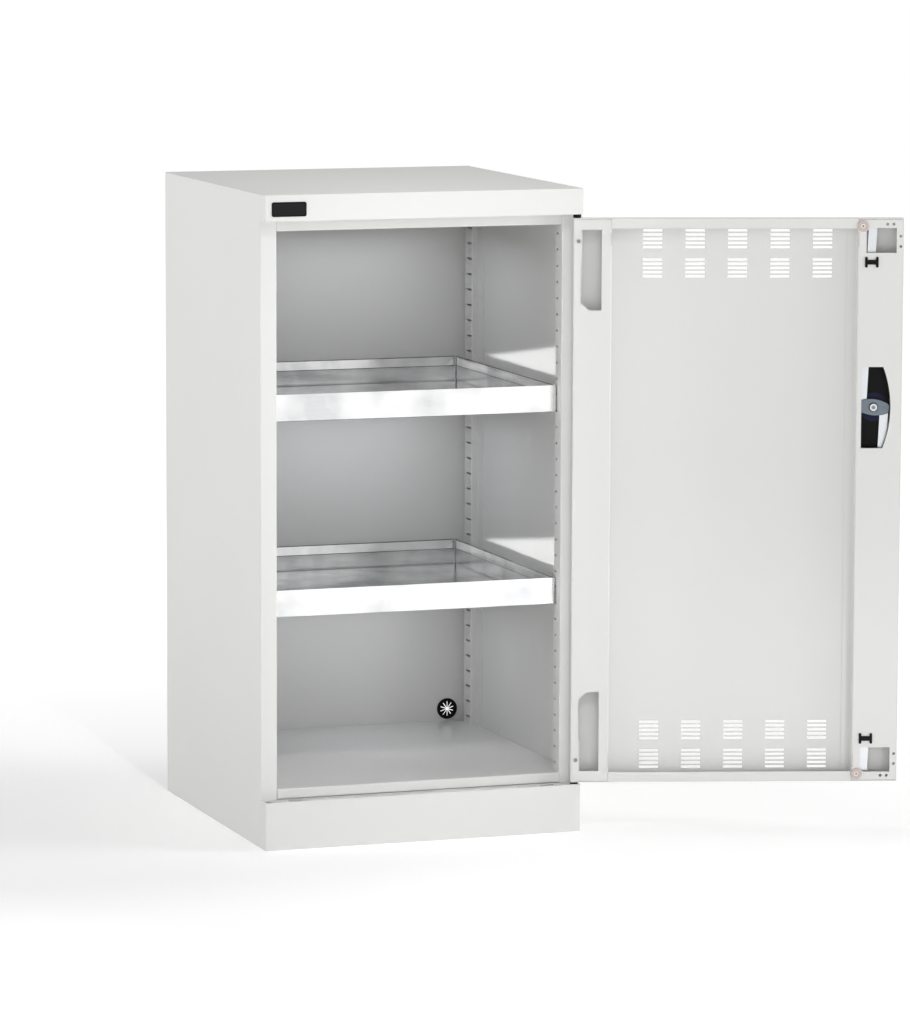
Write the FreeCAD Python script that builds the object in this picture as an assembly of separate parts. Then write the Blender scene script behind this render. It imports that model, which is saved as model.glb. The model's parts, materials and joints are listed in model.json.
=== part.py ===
"""Sheet-steel cabinet with one hinged door, two galvanised tray shelves and a two-rod door lock.

Millimetres, +Z up, +X to the right seen from the front, +Y towards the back. The origin lies on
the floor, in the plane of the front frame, midway between the sides. The door is drawn shut and
then swung open about its pins to the angle at which the cabinet is shown.
"""

import FreeCAD
import Part
import math
import os
from FreeCAD import Vector

# Carcass
WIDTH = 512.0
HEIGHT = 1000.0
FRAME_DEPTH = 505.0
FRONT_REACH = 25.0
SHEET = 1.2
TOP_SHEET = 2.0
BEND = 2.0
SEAM = 0.2
OVERRUN = 2.0

# Front frame
UPRIGHT_FACE = 26.5
JAMB_LIP = 14.0
RAIL_SETBACK = 1.0
RAIL_RETURN = 17.0
FASCIA_HEIGHT = 40.0
RAIL_DROP = 17.0

# Plinth and floor
PLINTH_HEIGHT = 74.0
PLINTH_FOOT = 40.0
PLINTH_FOOT_INSET = 36.0
PLINTH_TAB = 20.0
FLOOR_HEIGHT = 90.0
FLOOR_LIP_RETURN = 12.0

# Slotted uprights
SLOT_PITCH = 25.0
FIRST_SLOT = 12.5
SLOT_HEIGHT = 3.0
FRONT_UPRIGHT_DEPTH = 32.0
FRONT_UPRIGHT_HEM = 14.0
FRONT_SLOT_LENGTH = 6.5
FRONT_SLOT_Y = 23.5
POST_FACE_INSET = 13.0
POST_FROM_BACK = 55.0
POST_FACE = 34.0
POST_FLANGE = 25.0
POST_SLOT_LENGTH = 20.0
POST_SLOT_MARGIN = 2.5
POST_MARK_PITCH = 125.0
POST_MARK_HEIGHT = 7.0
POST_MARK_WIDTH = 2.6
POST_MARK_SHIFT = 10.5

# Back panel and cable grommet
BACK_FLANGE = 12.0
GROMMET_FROM_SIDE = 35.0
GROMMET_ABOVE_FLOOR = 19.5
GROMMET_HOLE = 29.0
GROMMET_FLANGE = 34.0
GROMMET_FLANGE_THICK = 2.0
GROMMET_BORE = 25.0
GROMMET_WEB = 1.0
GROMMET_SLITS = 10
GROMMET_SLIT_WIDTH = 1.4
GROMMET_SLIT_REACH = 12.0
GROMMET_EYE = 5.0

# Blank plate on the fascia
BADGE_LENGTH = 54.7
BADGE_HEIGHT = 22.0
BADGE_THICK = 1.0
BADGE_CORNER = 3.0
BADGE_LEFT_GAP = 11.0

# Tray shelves
TRAY_SIDE_GAP = 0.5
TRAY_FRONT = 20.0
TRAY_FROM_BACK = 21.0
TRAY_HEIGHT = 41.5
TRAY_SHEET = 1.2
TRAY_HEM = 15.0
TRAY_HEM_STOP = 12.0
TRAY_NOTCH = 1.6
TRAY_SPACING = 300.0
TRAY_RIM_TOP = 693.0
HOOK_THICK = 2.0
HOOK_SLOT_GAP = 0.5
HOOK_REACH = 4.0
HOOK_DROP = 7.0
HOOK_PLATE = 16.0

# Door
DOOR_WIDTH = 507.5
DOOR_RIGHT_MARGIN = 1.5
DOOR_BOTTOM_GAP = 4.0
DOOR_TOP_GAP = 6.0
DOOR_BACK_GAP = 2.5
DOOR_LIP = 15.5
CHANNEL_END_GAP = 0.6
DOOR_OPEN_ANGLE = 163.0
HINGE_CHANNEL = 58.4
HINGE_CHANNEL_RETURN = 10.0
LOCK_CHANNEL = 70.3
LOCK_CHANNEL_FOOT = 15.0
HINGE_WINDOW_INSET = 11.2
HINGE_WINDOW_WIDTH = 32.0
HINGE_WINDOW_END = 17.5
HINGE_WINDOW_HEIGHT = 124.0
HINGE_WINDOW_CHAMFER = 10.0
HINGE_WINDOW_STEP = 3.0
RELIEF_END = 22.0
RELIEF_HEIGHT = 21.0
RELIEF_DEPTH = 1.6
LOCK_WINDOW_INSET = 11.0
LOCK_WINDOW_WIDTH = 46.4
LOCK_WINDOW_END = 14.8
LOCK_WINDOW_HEIGHT = 38.2
LOCK_WINDOW_CHAMFER = 5.0
TOOL_HOLE = 4.6
TOOL_HOLE_END = 8.9
TOOL_HOLES_FROM_EDGE = (15.7, 25.3)
TOOL_HOLE_SIDE = 4.6
TOOL_HOLES_FROM_END = (27.4, 43.2)

# Door ventilation slots
VENT_COLUMNS = 5
VENT_GROUPS = 2
VENT_ROWS = 5
VENT_COLUMN_PITCH = 65.5
VENT_LENGTH = 29.5
VENT_HEIGHT = 3.7
VENT_PITCH = 6.5
VENT_FIRST = 20.0
VENT_GROUP_PITCH = 45.0

# Door hinge
PIN_FROM_EDGE = 6.0
PIN_DEPTH = 15.0
PIN_DIAMETER = 8.0
PIN_FIT = 0.05
PIN_INTO_BUSH = 10.0
PIN_BURIED = 27.0
BUSH_COLLAR = 12.5
BUSH_BARREL = 11.0
BUSH_GAP = 0.3
BUSH_DEPTH = 12.0
PIN_BLOCK_HEIGHT = 64.0
PIN_BLOCK_WIDTH = 11.8
PIN_BLOCK_DEPTH = 17.0
PIN_BLOCK_GAP = 0.3
PIN_SCREW = 4.0
PIN_SCREW_HEAD = 6.0
PIN_SCREW_HEAD_THICK = 1.6
PIN_SCREW_LENGTH = 10.0
PIN_SCREW_END = 35.0
PIN_SCREW_EDGE = 7.5

# Door lock
SPINDLE_FROM_EDGE = 43.0
SPINDLE_FROM_TOP = 292.0
SPINDLE_DIAMETER = 10.0
SPINDLE_TAIL = 6.0
SPINDLE_PROUD = 0.6
CUTOUT_STRAIGHT = 62.4
CUTOUT_CORNER = 28.9
CUTOUT_BULGE = 17.1
CUTOUT_HEIGHT = 126.0
TUB_FIT = 0.3
TUB_WALL = 1.8
TUB_FLOOR = 2.0
TUB_DEPTH = 9.0
TUB_ROUND = 45.0
TUB_STEP = 1.5
TUB_FLANGE = 5.0
TUB_FLANGE_THICK = 2.0
TUB_LUG = 12.0
TUB_LUG_REACH = 1.4
TUB_LUG_THICK = 2.5
HANDLE_GAP = 0.4
HANDLE_BASE = 32.0
HANDLE_BASE_THICK = 4.0
HANDLE_GRIP_WIDTH = 21.0
HANDLE_GRIP_HEIGHT = 13.0
CYLINDER_SHELL = 17.0
PLUG_DIAMETER = 11.0
PLUG_DEPTH = 9.0
PLUG_PROUD = 0.8
KEYWAY_LENGTH = 7.0
KEYWAY_WIDTH = 1.5
KEYWAY_DEPTH = 6.0
CAM_LENGTH = 49.4
CAM_HEIGHT = 25.6
CAM_END = 13.0
CAM_THICK = 3.0
CAM_THROW = 17.2
CAM_TILT = 6.3
CAM_POCKET = 16.0
CAM_POCKET_DEPTH = 0.8
CAM_RIVET = 5.0
CAM_RIVET_THICK = 0.8
WASHER = 13.6
WASHER_THICK = 0.8
NUT_ACROSS = 11.0
NUT_THICK = 3.0
CAM_STACK_GAP = 0.3
ROD_WIDTH = 13.0
ROD_THICK = 2.5
ROD_REST_GAP = 2.0
ROD_EYE = 6.0
ROD_EYE_END = 7.0
ROD_SLOT_WIDTH = 10.0
ROD_PORT_GAP = 1.2
GUIDE_FROM_EDGE = 49.1
GUIDE_FROM_END = 67.3
GUIDE_WIDTH = 20.8
GUIDE_HEIGHT = 16.5
GUIDE_BAR = 4.0
GUIDE_BRIDGE = 7.2
GUIDE_THICK = 1.5
GUIDE_NECK = 12.0
GUIDE_NECK_HEIGHT = 6.4
GUIDE_FIT = 0.2
GUIDE_BLOCK_WALL = 2.4
GUIDE_BLOCK_HEIGHT = 11.0

# Buffer pads
PAD_FROM_EDGE = 62.9
PAD_FROM_END = 11.8
PAD_DIAMETER = 17.6
PAD_THICK = 2.1
PAD_STEM = 5.8
PAD_STEM_LENGTH = 4.0
PAD_DIMPLE = 5.0
PAD_DIMPLE_DEPTH = 1.2

# Plinth screws
SCREW_SHANK = 4.8
SCREW_LENGTH = 9.0
SCREW_HEAD = 9.5
SCREW_HEAD_THICK = 2.4
SCREW_INSET = 10.0

# Places that follow from the sizes above
HALF = WIDTH / 2
INNER_SIDE = HALF - SHEET
OPENING = HALF - UPRIGHT_FACE
FASCIA_LEVEL = HEIGHT - FASCIA_HEIGHT
RAIL_LEVEL = FASCIA_LEVEL - RAIL_DROP
WALL_TOP = HEIGHT - TOP_SHEET
UPRIGHT_TOP = WALL_TOP - SEAM
BACK_INNER = FRAME_DEPTH - SHEET
POST_FRONT = FRAME_DEPTH - POST_FROM_BACK
GROMMET_X = HALF - GROMMET_FROM_SIDE
TRAY_REAR = FRAME_DEPTH - TRAY_FROM_BACK
DOOR_RIGHT = HALF - DOOR_RIGHT_MARGIN
DOOR_LEFT = DOOR_RIGHT - DOOR_WIDTH
DOOR_BOTTOM = PLINTH_HEIGHT + DOOR_BOTTOM_GAP
DOOR_TOP = FASCIA_LEVEL - DOOR_TOP_GAP
DOOR_OUTER = -FRONT_REACH
DOOR_INNER = -DOOR_BACK_GAP
SKIN_INNER = DOOR_OUTER + SHEET
PIVOT_X = DOOR_RIGHT - PIN_FROM_EDGE
PIVOT_Y = -PIN_DEPTH
SPINDLE_X = DOOR_LEFT + SPINDLE_FROM_EDGE
SPINDLE_Z = DOOR_TOP - SPINDLE_FROM_TOP
GUIDE_X = DOOR_LEFT + GUIDE_FROM_EDGE
CRANK_X = CAM_THROW * math.cos(math.radians(CAM_TILT))
CRANK_Z = CAM_THROW * math.sin(math.radians(CAM_TILT))
ROD_TRAVEL = CRANK_X - CRANK_Z
TUB_BACK = SKIN_INNER + TUB_DEPTH
TUB_FRONT = TUB_BACK - TUB_FLOOR
ROD_OUTER = TUB_BACK + CAM_STACK_GAP
ROD_INNER = ROD_OUTER + ROD_THICK
CAM_OUTER = ROD_INNER + CAM_STACK_GAP
CAM_INNER = CAM_OUTER + CAM_THICK
WASHER_OUTER = CAM_INNER - CAM_POCKET_DEPTH
WASHER_INNER = WASHER_OUTER + WASHER_THICK
NUT_INNER = WASHER_INNER + NUT_THICK


def box(x0, x1, y0, y1, z0, z1):
    """A block between two corners, whichever way round they are given."""
    low = Vector(min(x0, x1), min(y0, y1), min(z0, z1))
    return Part.makeBox(abs(x1 - x0), abs(y1 - y0), abs(z1 - z0), low)


def rod_y(x, z, diameter, y0, y1):
    """A round bar along Y."""
    return Part.makeCylinder(diameter / 2, y1 - y0, Vector(x, y0, z), Vector(0, 1, 0))


def rod_z(x, y, diameter, z0, z1):
    """A round bar along Z."""
    return Part.makeCylinder(diameter / 2, z1 - z0, Vector(x, y, z0))


def mirrored(shape):
    """The same piece for the other side of the cabinet."""
    return shape.mirror(Vector(0, 0, 0), Vector(1, 0, 0))


def offset_corner(before, corner, after, distance):
    """Where the second face of a folded sheet turns, distance to the left of the first."""
    first = (corner - before).normalize()
    second = (after - corner).normalize()
    left_of_first = Vector(-first.y, first.x, 0)
    left_of_second = Vector(-second.y, second.x, 0)
    bisector = left_of_first + left_of_second
    return corner + bisector * (distance * 2 / bisector.dot(bisector))


def folded_sheet(points, thick, length):
    """A sheet folded along a path drawn in the XY plane and pulled up along Z.

    The path is one face of the sheet, and the thickness lies to its left. Every fold is rounded.
    """
    path = [Vector(x, y, 0) for x, y in points]
    other = []
    for i, corner in enumerate(path):
        if i == 0:
            run = (path[1] - corner).normalize()
            other.append(corner + Vector(-run.y, run.x, 0) * thick)
        elif i == len(path) - 1:
            run = (corner - path[i - 1]).normalize()
            other.append(corner + Vector(-run.y, run.x, 0) * thick)
        else:
            other.append(offset_corner(path[i - 1], corner, path[i + 1], thick))
    outline = path + other[::-1] + [path[0]]
    solid = Part.Face(Part.makePolygon(outline)).extrude(Vector(0, 0, length))
    for i in range(1, len(path) - 1):
        turn = (path[i] - path[i - 1]).cross(path[i + 1] - path[i]).z
        outer, inner = (path[i], other[i]) if turn > 0 else (other[i], path[i])
        for place, radius in ((outer, BEND), (inner, BEND - thick)):
            solid = round_upright_edge(solid, place, radius)
    return solid


def round_upright_edge(solid, place, radius):
    """Round the edge that runs along Z through one place in plan."""
    for edge in solid.Edges:
        middle = edge.CenterOfMass
        span = edge.BoundBox
        along_z = span.ZLength > span.XLength + span.YLength
        if along_z and math.hypot(middle.x - place.x, middle.y - place.y) < SEAM:
            return solid.makeFillet(radius, [edge])
    return solid


def stood_along_x(shape, x0):
    """Turn a profile drawn in the XY plane and pulled along Z so that it runs along X.

    What was X becomes Y, what was Y becomes Z, and the pull starts at x0.
    """
    turned = FreeCAD.Matrix(0, 0, 1, x0, 1, 0, 0, 0, 0, 1, 0, 0, 0, 0, 0, 1)
    return shape.transformGeometry(turned)


def slots(count, first, pitch, x0, x1, y0, y1, height):
    """A ladder of slots up an upright."""
    return [
        box(x0, x1, y0, y1, first + i * pitch - height / 2, first + i * pitch + height / 2)
        for i in range(count)
    ]


def drilled(solid, holes):
    """Cut a list of shapes out of a solid."""
    return solid.cut(Part.makeCompound(holes))


def joined(first, *others):
    """Make one solid of pieces that touch."""
    return first.fuse(list(others)).removeSplitter()


def swung(shape):
    """Swing a piece of the shut door to where the door stands open."""
    return shape.rotated(Vector(PIVOT_X, PIVOT_Y, 0), Vector(0, 0, 1), DOOR_OPEN_ANGLE)


# Carcass pieces


def left_side_panel():
    """Outer wall, front face and jamb lip, folded from one sheet that reaches the floor."""
    path = [(-HALF, FRAME_DEPTH), (-HALF, 0), (-OPENING, 0), (-OPENING, JAMB_LIP)]
    panel = folded_sheet(path, SHEET, WALL_TOP)
    return drilled(panel, [mirrored(s) for s in plinth_screw_holes()])


def right_side_panel():
    return mirrored(left_side_panel())


def back_panel():
    """Plain back with side flanges turned forward and a hole for the cable grommet."""
    edge = INNER_SIDE - SEAM
    front = FRAME_DEPTH - BACK_FLANGE - SHEET
    path = [(edge, front), (edge, FRAME_DEPTH), (-edge, FRAME_DEPTH), (-edge, front)]
    panel = folded_sheet(path, SHEET, WALL_TOP)
    hole = rod_y(GROMMET_X, grommet_level(), GROMMET_HOLE, BACK_INNER - OVERRUN, FRAME_DEPTH + OVERRUN)
    return panel.cut(hole)


def top_cover():
    """Top sheet with the hollow fascia that stands out over the door."""
    cover = box(-HALF, HALF, DOOR_OUTER, FRAME_DEPTH, FASCIA_LEVEL, HEIGHT)
    rounded = [e for e in cover.Edges if is_outer_top_edge(e)]
    cover = cover.makeFillet(TOP_SHEET - SEAM, rounded)
    hollow = box(-INNER_SIDE, INNER_SIDE, SKIN_INNER, OVERRUN, FASCIA_LEVEL + SHEET, WALL_TOP)
    under = box(-HALF - OVERRUN, HALF + OVERRUN, 0, FRAME_DEPTH + OVERRUN, FASCIA_LEVEL - OVERRUN, WALL_TOP)
    return drilled(cover.cut(hollow).cut(under), flange_ports(FASCIA_LEVEL, FASCIA_LEVEL + SHEET, 1))


def is_outer_top_edge(edge):
    """The top sheet's rim and the fascia's two upright corners."""
    span = edge.BoundBox
    on_top = span.ZMin > HEIGHT - SEAM
    front_corner = span.ZLength > FASCIA_HEIGHT - SEAM and span.YMax < 0
    return on_top or front_corner


def flange_ports(z0, z1, outward):
    """Holes in the fascia's and the plinth's flange: a bush hole and a rod slot at either end.

    A slot is as long as the leaning rod needs when it is pushed all the way out.
    """
    far = z1 + ROD_TRAVEL if outward > 0 else z0 - ROD_TRAVEL
    lean = abs(rod_line(outward, far) - GUIDE_X)
    half = lean + ROD_WIDTH / 2 + ROD_PORT_GAP
    y = (ROD_OUTER + ROD_INNER) / 2
    low, high = z0 - OVERRUN, z1 + OVERRUN
    slot = box(GUIDE_X - half, GUIDE_X + half, y - ROD_SLOT_WIDTH / 2, y + ROD_SLOT_WIDTH / 2, low, high)
    bush = rod_z(PIVOT_X, PIVOT_Y, BUSH_BARREL, low, high)
    return [slot, mirrored(slot), bush, mirrored(bush)]


def top_front_rail():
    """Recessed rail between the uprights, turned back at its lower edge."""
    path = [
        (RAIL_SETBACK, UPRIGHT_TOP),
        (RAIL_SETBACK, RAIL_LEVEL),
        (RAIL_SETBACK + RAIL_RETURN, RAIL_LEVEL),
    ]
    length = 2 * (OPENING - SEAM)
    return stood_along_x(folded_sheet(path, SHEET, length), -length / 2)


def floor_panel():
    """Floor sheet with its front lip turned down and back, notched round the uprights."""
    path = [
        (BACK_INNER - SEAM, FLOOR_HEIGHT),
        (0, FLOOR_HEIGHT),
        (0, PLINTH_HEIGHT + SEAM),
        (FLOOR_LIP_RETURN, PLINTH_HEIGHT + SEAM),
    ]
    length = 2 * (OPENING - SEAM)
    middle = stood_along_x(folded_sheet(path, SHEET, length), -length / 2)
    wing = box(
        -INNER_SIDE + SEAM,
        -length / 2,
        JAMB_LIP + SEAM,
        BACK_INNER - BACK_FLANGE - BEND,
        FLOOR_HEIGHT - SHEET,
        FLOOR_HEIGHT,
    )
    return joined(middle, wing, mirrored(wing))


def plinth_front():
    """Plinth box, open at the back, with tabs that screw to the side panels' front faces."""
    rear = -SEAM / 2
    shell = box(-HALF, HALF, DOOR_OUTER, rear, 0, PLINTH_HEIGHT)
    corners = [e for e in shell.Edges if e.BoundBox.ZLength > PLINTH_HEIGHT / 2 and e.BoundBox.YMax < rear]
    shell = shell.makeFillet(BEND, corners)
    inside = box(-INNER_SIDE, INNER_SIDE, SKIN_INNER, rear - SHEET, SHEET, PLINTH_HEIGHT - SHEET)
    way_out = INNER_SIDE - PLINTH_TAB
    back_open = box(-way_out, way_out, SKIN_INNER, rear + OVERRUN, SHEET, PLINTH_HEIGHT - SHEET)
    foot_side = OPENING - PLINTH_FOOT_INSET
    foot = box(-foot_side, foot_side, rear, PLINTH_FOOT + DOOR_OUTER, 0, SHEET)
    plinth = joined(shell.cut(inside).cut(back_open), foot)
    holes = flange_ports(PLINTH_HEIGHT - SHEET, PLINTH_HEIGHT, -1)
    for hole in plinth_screw_holes():
        holes += [hole, mirrored(hole)]
    return drilled(plinth, holes)


def plinth_screw_places():
    """Two screws behind the right upright's face."""
    x = INNER_SIDE - SCREW_INSET
    return [(x, PLINTH_HEIGHT / 3), (x, PLINTH_HEIGHT * 2 / 3)]


def plinth_screw_holes():
    return [rod_y(x, z, SCREW_SHANK, -SCREW_LENGTH, SHEET + OVERRUN) for x, z in plinth_screw_places()]


def plinth_screws():
    """Four pan-head screws that hold the plinth, reached from inside the uprights."""
    screws = []
    for x, z in plinth_screw_places():
        shank = rod_y(x, z, SCREW_SHANK, SHEET - SCREW_LENGTH, SHEET)
        head = rod_y(x, z, SCREW_HEAD, SHEET, SHEET + SCREW_HEAD_THICK)
        head = head.makeFillet(SCREW_HEAD_THICK / 2, [head.Edges[0]])
        screw = joined(shank, head)
        screws += [screw, mirrored(screw)]
    return Part.makeCompound(screws)


def slot_levels():
    """How many slots fit between the floor and the top of an upright."""
    return int((RAIL_LEVEL - FLOOR_HEIGHT - FIRST_SLOT) / SLOT_PITCH) + 1


def front_left_upright():
    """Slotted channel behind the jamb lip."""
    face = -OPENING - SHEET
    wall = -INNER_SIDE
    path = [
        (face, BEND + SEAM),
        (face, FRONT_UPRIGHT_DEPTH),
        (wall, FRONT_UPRIGHT_DEPTH),
        (wall, FRONT_UPRIGHT_DEPTH - FRONT_UPRIGHT_HEM),
    ]
    channel = folded_sheet(path, SHEET, UPRIGHT_TOP - FLOOR_HEIGHT)
    channel.translate(Vector(0, 0, FLOOR_HEIGHT))
    y0 = FRONT_SLOT_Y - FRONT_SLOT_LENGTH / 2
    y1 = FRONT_SLOT_Y + FRONT_SLOT_LENGTH / 2
    first = FLOOR_HEIGHT + FIRST_SLOT
    ladder = slots(slot_levels(), first, SLOT_PITCH, face - OVERRUN, face + OVERRUN, y0, y1, SLOT_HEIGHT)
    return drilled(channel, ladder)


def front_right_upright():
    return mirrored(front_left_upright())


def rear_left_upright():
    """Hat-section post on the side wall, with long slots and short upright marks."""
    wall = -INNER_SIDE
    face = wall + POST_FACE_INSET - SHEET
    rear = POST_FRONT + POST_FACE
    path = [
        (wall + SHEET, POST_FRONT - POST_FLANGE),
        (wall + SHEET, POST_FRONT),
        (face, POST_FRONT),
        (face, rear),
        (wall, rear),
    ]
    post = folded_sheet(path, SHEET, UPRIGHT_TOP - FLOOR_HEIGHT)
    post.translate(Vector(0, 0, FLOOR_HEIGHT))
    first = FLOOR_HEIGHT + FIRST_SLOT
    y0 = POST_FRONT + POST_SLOT_MARGIN
    y1 = y0 + POST_SLOT_LENGTH
    x0 = face - OVERRUN
    x1 = face + OVERRUN
    cuts = slots(slot_levels(), first, SLOT_PITCH, x0, x1, y0, y1, SLOT_HEIGHT)
    mark = POST_FRONT + POST_MARK_SHIFT
    count = int(slot_levels() * SLOT_PITCH / POST_MARK_PITCH) + 1
    cuts += slots(
        count,
        first + SLOT_PITCH / 2,
        POST_MARK_PITCH,
        x0,
        x1,
        mark - POST_MARK_WIDTH / 2,
        mark + POST_MARK_WIDTH / 2,
        POST_MARK_HEIGHT,
    )
    return drilled(post, cuts)


def rear_right_upright():
    return mirrored(rear_left_upright())


def grommet_level():
    return FLOOR_HEIGHT + GROMMET_ABOVE_FLOOR


def cable_grommet():
    """Rubber membrane grommet: a grooved ring with a thin web slit like a star."""
    z = grommet_level()
    front = BACK_INNER - GROMMET_FLANGE_THICK
    rear = FRAME_DEPTH + GROMMET_FLANGE_THICK
    ring = joined(
        rod_y(GROMMET_X, z, GROMMET_FLANGE, front, BACK_INNER),
        rod_y(GROMMET_X, z, GROMMET_HOLE, BACK_INNER, FRAME_DEPTH),
        rod_y(GROMMET_X, z, GROMMET_FLANGE, FRAME_DEPTH, rear),
    )
    web = front + GROMMET_WEB
    bore = rod_y(GROMMET_X, z, GROMMET_BORE, web, rear + OVERRUN)
    cuts = [rod_y(GROMMET_X, z, GROMMET_EYE, front - OVERRUN, web + OVERRUN)]
    half_slit = GROMMET_SLIT_WIDTH / 2
    for i in range(GROMMET_SLITS):
        slit = box(
            GROMMET_X,
            GROMMET_X + GROMMET_SLIT_REACH,
            front - OVERRUN,
            web + OVERRUN,
            z - half_slit,
            z + half_slit,
        )
        centre = Vector(GROMMET_X, 0, z)
        cuts.append(slit.rotated(centre, Vector(0, 1, 0), i * 360 / GROMMET_SLITS + 90))
    return ring.cut(bore).cut(cuts[0].fuse(cuts[1:]))


def fascia_badge():
    """Plain plate with round corners, bare of any lettering."""
    x0 = -HALF + BADGE_LEFT_GAP
    z0 = FASCIA_LEVEL + (FASCIA_HEIGHT - BADGE_HEIGHT) / 2 - TOP_SHEET
    plate = box(
        x0, x0 + BADGE_LENGTH, DOOR_OUTER - BADGE_THICK, DOOR_OUTER, z0, z0 + BADGE_HEIGHT
    )
    corners = [e for e in plate.Edges if abs(e.BoundBox.YLength - BADGE_THICK) < SEAM]
    return plate.makeFillet(BADGE_CORNER, corners)


# Tray shelves and their hooks


def tray(rim_top):
    """Open sheet tray with hemmed rims, notched where the hems meet at the rear corners."""
    side = OPENING - TRAY_SIDE_GAP
    rear = TRAY_REAR
    floor = rim_top - TRAY_HEIGHT
    outer = box(-side, side, TRAY_FRONT, rear, floor, rim_top)
    bends = [e for e in outer.Edges if e.BoundBox.ZMax < floor + SEAM or is_front_upright(e, floor)]
    outer = outer.makeFillet(BEND, bends)
    t = TRAY_SHEET
    inner = box(-side + t, side - t, TRAY_FRONT + t, rear - t, floor + t, rim_top + OVERRUN)
    bends = [e for e in inner.Edges if e.BoundBox.ZMax < floor + t + SEAM or is_front_upright(e, floor)]
    inner = inner.makeFillet(BEND - t, bends)
    pan = outer.cut(inner)
    low = rim_top - TRAY_HEM
    hems = [
        box(-side + t, -side + 2 * t, TRAY_FRONT + 2 * t, rear - TRAY_HEM_STOP, low, rim_top),
        box(side - 2 * t, side - t, TRAY_FRONT + 2 * t, rear - TRAY_HEM_STOP, low, rim_top),
        box(-side + TRAY_HEM_STOP, side - TRAY_HEM_STOP, rear - 2 * t, rear - t, low, rim_top),
    ]
    pan = joined(pan, *hems)
    notches = []
    for corner in (-side, side):
        sign = 1 if corner < 0 else -1
        notches.append(
            box(
                corner - sign * OVERRUN,
                corner + sign * (t + TRAY_NOTCH),
                rear - t,
                rear + OVERRUN,
                floor + BEND,
                rim_top + OVERRUN,
            )
        )
    return drilled(pan, notches)


def is_front_upright(edge, floor):
    """The tray's two upright corner folds at the front."""
    span = edge.BoundBox
    return span.ZLength > TRAY_HEIGHT / 2 and span.YMax < TRAY_FRONT + TRAY_HEM and span.ZMin > floor - SEAM


def tray_hooks(rim_top):
    """Four hooks on the tray's sides, each through a slot of an upright and down behind it."""
    side = OPENING - TRAY_SIDE_GAP
    floor = rim_top - TRAY_HEIGHT
    first = FLOOR_HEIGHT + FIRST_SLOT - SLOT_HEIGHT / 2
    step = math.ceil((floor + HOOK_PLATE - first) / SLOT_PITCH)
    level = first + step * SLOT_PITCH
    front_face = OPENING + SHEET
    rear_face = INNER_SIDE - POST_FACE_INSET + SHEET
    front = hook(side, front_face, level, FRONT_SLOT_Y, FRONT_SLOT_LENGTH)
    rear_slot_y = POST_FRONT + POST_SLOT_MARGIN + POST_SLOT_LENGTH / 2
    rear = hook(side, rear_face, level, rear_slot_y, POST_SLOT_LENGTH)
    return Part.makeCompound([front, rear, mirrored(front), mirrored(rear)])


def hook(side, face, level, y, slot_length):
    """One hook of bent flat bar: it lies on the slot's lower edge."""
    y0 = y - slot_length / 2 + HOOK_SLOT_GAP
    y1 = y + slot_length / 2 - HOOK_SLOT_GAP
    tip = face + SHEET + SEAM + HOOK_REACH
    tongue = box(side, tip, y0, y1, level, level + HOOK_THICK)
    drop = box(face + SHEET + SEAM, tip, y0, y1, level - HOOK_DROP, level)
    return joined(tongue, drop)


# Door pieces, drawn shut


def door_skin():
    """Outer sheet with its four edges turned in, lips at top and bottom, and vents."""
    shell = box(DOOR_LEFT, DOOR_RIGHT, DOOR_OUTER, DOOR_INNER, DOOR_BOTTOM, DOOR_TOP)
    shell = shell.makeFillet(BEND, [e for e in shell.Edges if e.BoundBox.YMax < DOOR_OUTER + SEAM])
    pocket = box(
        DOOR_LEFT + SHEET,
        DOOR_RIGHT - SHEET,
        SKIN_INNER,
        DOOR_INNER + OVERRUN,
        DOOR_BOTTOM + SHEET,
        DOOR_TOP - SHEET,
    )
    pocket = pocket.makeFillet(BEND - SHEET, [e for e in pocket.Edges if e.BoundBox.YMax < SKIN_INNER + SEAM])
    skin = shell.cut(pocket)
    lip_left = DOOR_LEFT + LOCK_CHANNEL + SEAM
    lip_right = DOOR_RIGHT - HINGE_CHANNEL - SEAM
    lips = [
        box(lip_left, lip_right, DOOR_INNER - SHEET, DOOR_INNER, DOOR_BOTTOM + SHEET, DOOR_BOTTOM + DOOR_LIP),
        box(lip_left, lip_right, DOOR_INNER - SHEET, DOOR_INNER, DOOR_TOP - DOOR_LIP, DOOR_TOP - SHEET),
    ]
    skin = joined(skin, *lips)
    cuts = vents() + [handle_cutout(DOOR_OUTER - OVERRUN, SKIN_INNER + OVERRUN, TUB_FIT)]
    for end, outward in ((DOOR_BOTTOM, -1), (DOOR_TOP, 1)):
        low, high = end - OVERRUN, end + OVERRUN
        cuts.append(rod_z(PIVOT_X, PIVOT_Y, PIN_DIAMETER + 2 * PIN_FIT, low, high))
        cuts.append(rod_port(rod_line(outward, end), low, high))
    return drilled(skin, cuts)


def vents():
    """Ventilation slots in columns, in groups at the top and at the bottom of the door."""
    middle = (DOOR_LEFT + DOOR_RIGHT) / 2
    first = middle - (VENT_COLUMNS - 1) * VENT_COLUMN_PITCH / 2
    cuts = []
    for column in range(VENT_COLUMNS):
        x = first + column * VENT_COLUMN_PITCH
        for group in range(VENT_GROUPS):
            for row in range(VENT_ROWS):
                deep = VENT_FIRST + group * VENT_GROUP_PITCH + row * VENT_PITCH
                for z in (DOOR_BOTTOM + deep, DOOR_TOP - deep):
                    cuts.append(
                        box(
                            x - VENT_LENGTH / 2,
                            x + VENT_LENGTH / 2,
                            DOOR_OUTER - OVERRUN,
                            SKIN_INNER + OVERRUN,
                            z - VENT_HEIGHT / 2,
                            z + VENT_HEIGHT / 2,
                        )
                    )
    return cuts


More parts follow.
